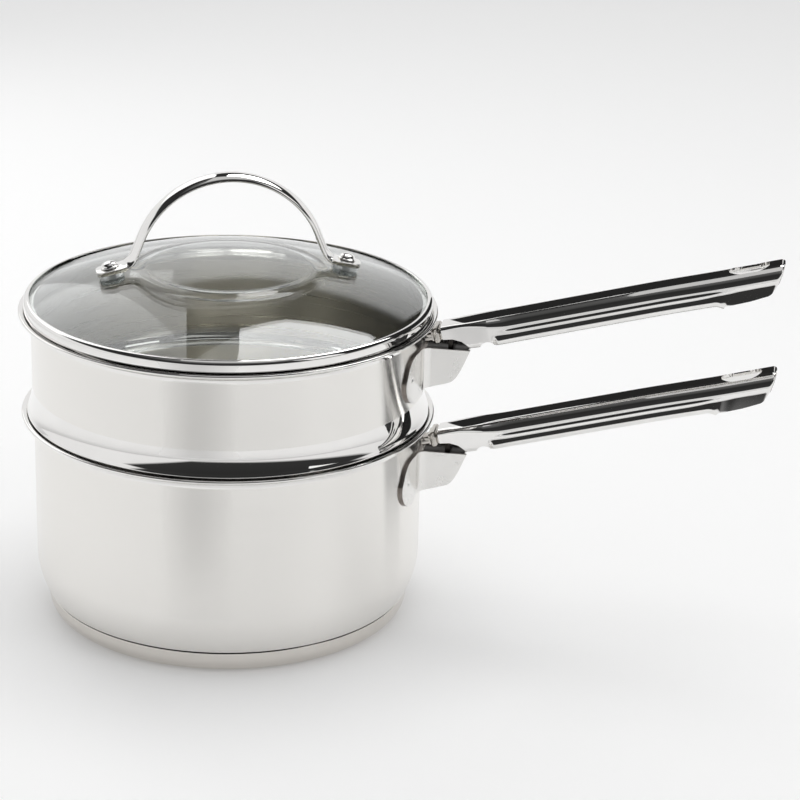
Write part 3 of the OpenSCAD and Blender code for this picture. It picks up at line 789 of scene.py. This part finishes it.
def ear_edges(y):
    """Lower and upper edge of an ear at a distance from the bracket's middle."""
    rise = 9 - round_part(9, 17.2 - y)
    low = EAR_LOW + (min(rise, 2.36) if y < 17.2 else rise)
    if y < 16.2:
        return low, EAR_TOP
    if y < 24.6:
        return low, EAR_TOP - 8.6 + round_part(8.6, y - 16.2)
    if y < 26.0:
        return low, float(np.interp(y, (24.6, 26.0), (-17.0, -19.7)))
    return low, EAR_LOW + 9 + round_part(9, y - 17.2)


def bracket_columns(wall):
    """Places along the sheet in plan, from the ear's far end to the cheek's. Each has its lower
    and upper edge, and says whether it lies on the wall."""
    skin = wall + WELD_GAP + EAR_T
    centre_y = CHEEK_Y + FOLD
    centre_x = math.sqrt((skin + FOLD) ** 2 - centre_y ** 2)
    touch = math.atan2(centre_y, centre_x)
    near = skin * math.sin(touch)
    columns = []
    for t in np.linspace(math.pi / 2, 0, 56):
        y = near + (EAR_FAR - near) * math.sin(t)
        columns.append((math.sqrt(skin ** 2 - y * y), y, *ear_edges(y), True))
    for a in np.linspace(touch + math.pi, 1.5 * math.pi, 13)[1:]:
        x, y = centre_x + FOLD * math.cos(a), centre_y + FOLD * math.sin(a)
        columns.append((x, y, float(np.interp(x, cheek_x, cheek_low)), EAR_TOP, False))
    for x in np.linspace(centre_x, CHEEK_END, 40)[1:]:
        columns.append((x, CHEEK_Y, float(np.interp(x, cheek_x, cheek_low)), CHEEK_TOP, False))
    return columns


def grid_faces(base, columns, rows, turned_over):
    quads = []
    for i in range(columns - 1):
        for j in range(rows - 1):
            a, b = base + i * rows + j, base + (i + 1) * rows + j
            quads.append((a, a + 1, b + 1, b) if turned_over else (a, b, b + 1, a + 1))
    return quads


def bracket_sheet(wall, drop):
    """Both ears with their cheeks, and the strip of sheet on the wall between them."""
    vertices, faces = [], []
    for side in (1, -1):
        columns = bracket_columns(wall)
        base = len(vertices)
        for x, y, low, high, on_wall in columns:
            for z in low + (high - low) * np.linspace(0, 1, SHEET_ROWS):
                dent = DENT * sum(math.exp(-((y - wy) ** 2 + (z + wz) ** 2) / 0.8) for wy, wz in WELDS)
                keep = 1 - dent / math.hypot(x, y) if on_wall else 1.0
                vertices.append((x * keep, side * y * keep, INSERT_H - drop + z))
        faces += grid_faces(base, len(columns), SHEET_ROWS, side == 1)
    base = len(vertices)
    skin = wall + WELD_GAP + EAR_T
    middle, heights = np.linspace(8.0, -8.0, 17), np.linspace(-28.2, -11.9, 8)
    vertices += [(math.sqrt(skin ** 2 - y * y), y, INSERT_H - drop + z) for y in middle for z in heights]
    faces += grid_faces(base, len(middle), len(heights), True)
    return vertices, faces


print("ear edges at 20 mm:", [round(v, 2) for v in ear_edges(20.0)])

# %% [markdown]
# ## Carriers and ferrules
#
# Between the cheeks a small plate closes the top, and a tongue runs from it into the grip. Both are
# nearly black, as painted shade for the dark inside of the grip. The
# ferrule that shows between the wall and the grip is a short lofted sleeve with a raised ridge.

# %% Brackets and collars
def prism(outline, half):
    """A plate from an outline in side view, as (x, z), that reaches from -half to half across."""
    n = len(outline)
    points = [(x, -half, z) for x, z in outline] + [(x, half, z) for x, z in outline]
    sides = [(i, (i + 1) % n, n + (i + 1) % n, n + i) for i in range(n)]
    return points, sides + [tuple(range(n))[::-1], tuple(range(n, 2 * n))]


def on_grip(u, v, drop):
    point = tilt_and_place((u, 0, v), drop) / MM
    return point.x, point.z


def object_from(name, vertices, faces, *materials):
    mesh = bpy.data.meshes.new(name)
    mesh.from_pydata([Vector(p) * MM for p in vertices], [], faces)
    for material in materials:
        mesh.materials.append(material)
    return in_scene(name, mesh)


def join_into(piece, other, slot):
    """The other's mesh added to the piece, with the material that is in the piece's slot."""
    work = bmesh.new()
    work.from_mesh(other.data)
    for face in work.faces:
        face.material_index = slot
    work.from_mesh(piece.data)
    work.to_mesh(piece.data)
    work.free()
    bpy.data.objects.remove(other)


def make_bracket(name, wall, drop):
    """The folded sheet with its web and tongue, for a wall of this radius."""
    piece = object_from(name, *bracket_sheet(wall, drop), plate_steel, edge_and_shade_steel, painted_shade_steel)
    sheet = piece.modifiers.new("sheet", "SOLIDIFY")
    sheet.thickness = EAR_T * MM
    sheet.offset = -1
    # The rim faces of the sheet get the sheared edge steel, painted dark as painted shade.
    sheet.material_offset_rim = 1
    settle(piece, sharp=40)
    soften(piece, 0.16)
    top = INSERT_H + CHEEK_TOP - drop
    web = prism([(83.8, top - 2.3), (101.0, top - 2.3), (101.3, top - 0.9), (83.8, top - 0.9)], 5.55)
    a, b, c, d = (on_grip(u, v, drop) for u, v in ((3.2, -1.7), (16, -1.7), (16, -3.2), (4.9, -3.2)))
    tongue = prism([(a[0], top - 1.2), (d[0], top - 1.2), d, c, b, a], 4.6)
    # Painted shade: the web and tongue are nearly black, for the dark inside of the grip.
    for points, quads in (web, tongue):
        join_into(piece, soften(object_from("plate", points, quads, painted_shade_steel), 0.2), 2)
    print(name, len(piece.data.polygons), "faces")
    return piece


def collar_ring(half, top, low):
    """The ferrule's section: round above, with small corners below."""
    big, small = 2.0, 0.8
    return (bend(half - big, top - big, big, 0, 90, 6) + bend(big - half, top - big, big, 90, 180, 6) +
            bend(small - half, low + small, small, 180, 270, 6) +
            bend(half - small, low + small, small, 270, 360, 6))


# Each section is (place along the grip, half width, top, bottom). The first one lies on the wall.
collar_sections = [(None, 4.4, -2.6, -5.8), (-4.6, 4.4, -2.6, -5.8), (-4.3, 5.7, -1.3, -5.9),
                   (-3.7, 5.7, -1.3, -5.9), (-3.4, 6.3, -0.7, -6.4), (-2.9, 6.6, -0.42, -6.6),
                   (-1.5, 6.6, -0.42, -6.6), (-1.0, 6.2, -0.8, -6.3), (-0.7, 5.6, -1.3, -5.9),
                   (-0.1, 5.6, -1.3, -5.9)]


def make_collar(name, wall, drop):
    rings = []
    for place, half, top, low in collar_sections:
        ring = []
        for y, v in collar_ring(half, top, low):
            u = place
            if u is None:
                wall_x = math.sqrt((wall + 1.34) ** 2 - y * y)
                u = (wall_x - ROOT_X + v * math.sin(RISE)) / math.cos(RISE)
            ring.append(tuple(tilt_and_place((u, y, v), drop) / MM))
        rings.append(ring)
    # The ferrule's darker colour is painted shade.
    return settle(object_from(name, *loft(rings), darkened_ferrule_steel), sharp=35)


for level, body, wall, drop in (("upper", "insert", INSERT_R, 0.0), ("lower", "saucepan", PAN_R, LOWER_BY)):
    for piece, replaced in ((make_bracket(level + "_bracket_sheet", wall, drop), level + "_bracket"),
                            (make_collar(level + "_ferrule", wall, drop), level + "_collar")):
        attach(piece, body)
        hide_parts(replaced)

# %% [markdown]
# ## Pieces that the frame already has
#
# The core of the base and the lid's pads, sleeves and washers are shown as the frame has them.
# They only need a finish: plain aluminium, and the clear silicone that keeps steel off glass.

# %% Finishes for the frame's own pieces
carried = {"base_core": core_metal}
carried.update({f"lid_{part}_{side}": silicone
                for part in ("pad", "sleeve", "washer") for side in ("left", "right")})
for name, material in carried.items():
    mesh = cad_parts[name].data
    mesh.materials.clear()
    mesh.materials.append(material)
print("carried over:", len(carried))

# %% [markdown]
# ## Floor, world and lamps
#
# The object stands on a plain white table that is broad enough to fill the picture. Polished steel
# has no look of its own: it shows what is around it. So the world that mirrors see is pale near the
# horizon and dark higher up, as a studio is, and plain cards hang where a photographer would put
# soft boxes and black card. Only glossy rays see the cards, so they shape the reflections and add
# no light. The lamps and the rest of the world light the object at a plain level.

# %% Stage
TABLE, TABLE_Z = 6.0, -0.0002
FLOOR_LIFT = 0.155
floor_mesh = bpy.data.meshes.new("floor")
floor_mesh.from_pydata([(x * TABLE, y * TABLE, TABLE_Z) for x, y in ((-1, -1), (1, -1), (1, 1), (-1, 1))],
                       [], [(0, 1, 2, 3)])
floor = in_scene("floor", floor_mesh)
floor_paint, floor_tree, floor_shader = finish("pale table")
floor_shader.inputs["Base Color"].default_value = (0.86, 0.86, 0.86, 1)
floor_shader.inputs["Roughness"].default_value = 0.9
floor_shader.inputs["Specular IOR Level"].default_value = 0.1
# The table is shown a little whiter than the lamps make it, to the camera, in mirrors and through
# glass alone, so it adds no light to the object.
floor_rays = node(floor_tree, "ShaderNodeLightPath")
shown = math_node(floor_tree, "MAXIMUM", floor_rays.outputs["Is Glossy Ray"],
                  floor_rays.outputs["Is Transmission Ray"])
shown = math_node(floor_tree, "MAXIMUM", floor_rays.outputs["Is Camera Ray"], shown)
floor_shader.inputs["Emission Color"].default_value = (1, 1, 1, 1)
floor_tree.links.new(math_node(floor_tree, "MULTIPLY", shown, FLOOR_LIFT),
                     floor_shader.inputs["Emission Strength"])
floor_mesh.materials.append(floor_paint)

world = bpy.data.worlds.new("studio")
bpy.context.scene.world = world
world.use_nodes = True
sky = world.node_tree
background = sky.nodes["Background"]
ray_path = node(sky, "ShaderNodeLightPath")
direction = node(sky, "ShaderNodeTexCoord")
toward = node(sky, "ShaderNodeSeparateXYZ", {0: direction.outputs["Generated"]})
# The edge between pale and dark isn't level: it is higher behind, and higher still at the left.
front = math_node(sky, "MULTIPLY", toward.outputs["Y"], 0.165)
behind = math_node(sky, "MULTIPLY", math_node(sky, "MAXIMUM", toward.outputs["Y"], 0.0), 0.16)
leftward = math_node(sky, "MINIMUM", math_node(sky, "ADD", toward.outputs["X"], 0.15), 0.0)
height = math_node(sky, "SUBTRACT", toward.outputs["Z"], math_node(sky, "ADD", front, behind))
height = math_node(sky, "ADD", height, math_node(sky, "MULTIPLY", leftward, 0.45))
ramp = node(sky, "ShaderNodeValToRGB", {0: height})
stops = [(0.0, 0.88), (0.155, 0.86), (0.215, 0.035), (0.70, 0.025), (0.95, 0.16), (1.0, 0.25)]
ramp.color_ramp.elements[0].position, ramp.color_ramp.elements[1].position = 0.0, 1.0
for position, _ in stops[1:-1]:
    ramp.color_ramp.elements.new(position)
for element, (position, value) in zip(ramp.color_ramp.elements, stops):
    element.position = position
    element.color = (value, value, value, 1)
PLAIN_SKY = (0.56, 0.56, 0.56, 1)
sky.links.new(mixed(sky, ray_path.outputs["Is Glossy Ray"], PLAIN_SKY, ramp.outputs[0]),
              background.inputs["Color"])
background.inputs["Strength"].default_value = 1.0


def soft_box(name, spot, target, width, height_m, power):
    """An area lamp at the spot that is aimed at the target, with its power in watts."""
    lamp = bpy.data.lights.new(name, "AREA")
    lamp.shape = "RECTANGLE"
    lamp.size, lamp.size_y, lamp.energy = width, height_m, power
    holder = in_scene(name, lamp)
    aim = (Vector(target) - Vector(spot)).to_track_quat("-Z", "Y")
    holder.matrix_world = Matrix.Translation(spot) @ aim.to_matrix().to_4x4()
    return holder


soft_box("left box", (-0.55, 0.66, 0.66), (-0.1, 0.0, 0.3), 0.36, 0.9, 1.2).visible_glossy = False
soft_box("right box", (1.7, -0.7, 1.3), (0, 0, 0.1), 0.8, 1.2, 3)
soft_box("top lamp", (0.1, 0.2, 1.6), (0, 0, 0.1), 1.2, 1.2, 9).visible_glossy = False


def mirror_card(name, corners, strength=1.0, shading=None):
    """A sheet that only glossy rays see: a soft box's face, or a dark card. The shading, where it
    is given, is a function that makes the strength as a value in the tree, for soft edges."""
    sheet_mesh = bpy.data.meshes.new(name)
    sheet_mesh.from_pydata(corners, [], [tuple(range(len(corners)))])
    paint, tree, shader = finish(name)
    tree.nodes.remove(shader)
    glow = node(tree, "ShaderNodeEmission", {"Strength": shading(tree) if shading else strength})
    unseen = node(tree, "ShaderNodeBsdfTransparent")
    rays = node(tree, "ShaderNodeLightPath")
    show(tree, rays.outputs["Is Glossy Ray"], unseen, glow)
    sheet_mesh.materials.append(paint)
    card = in_scene(name, sheet_mesh)


def flat_card(name, strength, height_m, *corners):
    mirror_card(name, [(x, y, height_m) for x, y in corners], strength)


OVERHEAD, ON_TABLE = 1.15, 0.001
flat_card("lid box", 4.6, OVERHEAD, (0.30, 1.13), (0.0, 0.966), (-0.125, 0.76), (-0.085, 0.56),
          (-0.07, 0.44), (0.45, 0.40), (0.9, 0.9))
flat_card("handle box", 0.6, OVERHEAD, (-0.24, 0.40), (-0.24, -0.35), (0.45, -0.45), (0.45, 0.37))
flat_card("left card", 1.35, OVERHEAD, (-0.246, 0.472), (-0.305, 0.733), (-0.388, 1.083),
          (-0.60, 1.70), (-0.75, 2.3), (-1.6, 3.0), (-1.6, 0.5), (-0.7, 0.35))
# A dark strip follows each grip at its far side. It starts just above the crown, and its top is
# given at the grip's root, middle and tip.
STRIP_Y, STRIP_LOW = 0.032, 0.0055
for drop, tops in ((0.0, (0.090, 0.060, 0.026)), (LOWER_BY, (0.036, 0.036, 0.026))):
    line = [(x, (ROOT_Z - drop) * MM + (x - ROOT_X * MM) * 0.268) for x in (0.0855, 0.160, 0.224)]
    upper_edge = [(x, STRIP_Y, z + top) for (x, z), top in zip(line, tops)]
    mirror_card("dark strip", [(x, STRIP_Y, z + STRIP_LOW) for x, z in line] + upper_edge[::-1], 0.02)
# The front card lies on the table before the pan and widens away from it, from near to far.
NEAR_Y, FAR_Y, NEAR_X, FAR_X, NEAR_SHARE, CARD_HALF = -0.19, -1.1, -0.012, -0.08, 0.1, 0.46


def fading(tree):
    """Dimmest along the card's middle line, and as bright as the table at its two long edges."""
    spot = node(tree, "ShaderNodeSeparateXYZ", {0: node(tree, "ShaderNodeTexCoord").outputs["Object"]})
    away = ranged(tree, spot.outputs["Y"], FAR_Y, NEAR_Y, 1.0, 0.0)
    middle_line = ranged(tree, away, 0.0, 1.0, NEAR_X, FAR_X)
    aside = math_node(tree, "ABSOLUTE", math_node(tree, "SUBTRACT", spot.outputs["X"], middle_line))
    share = math_node(tree, "DIVIDE", aside, ranged(tree, away, 0.0, 1.0, NEAR_SHARE, 1.0))
    return ranged(tree, share, 0.08, CARD_HALF, 0.67, 0.85)


near_half = NEAR_SHARE * CARD_HALF
mirror_card("front card", [(NEAR_X - near_half, NEAR_Y, ON_TABLE), (NEAR_X + near_half, NEAR_Y, ON_TABLE),
                           (FAR_X + CARD_HALF, FAR_Y, ON_TABLE), (FAR_X - CARD_HALF, FAR_Y, ON_TABLE)],
            shading=fading)
for (x0, y0), (x1, y1) in (((0.241, 0.037), (0.234, 0.0515)), ((0.2276, 0.0624), (0.2109, 0.085))):
    mirror_card("side card", [(x0, y0, 0.05), (x1, y1, 0.05), (x1, y1, 0.30), (x0, y0, 0.30)], 0.03)
flat_card("right card", 0.04, ON_TABLE, (0.257, 0.048), (0.228, 0.096), (0.535, 0.353), (0.623, 0.211))
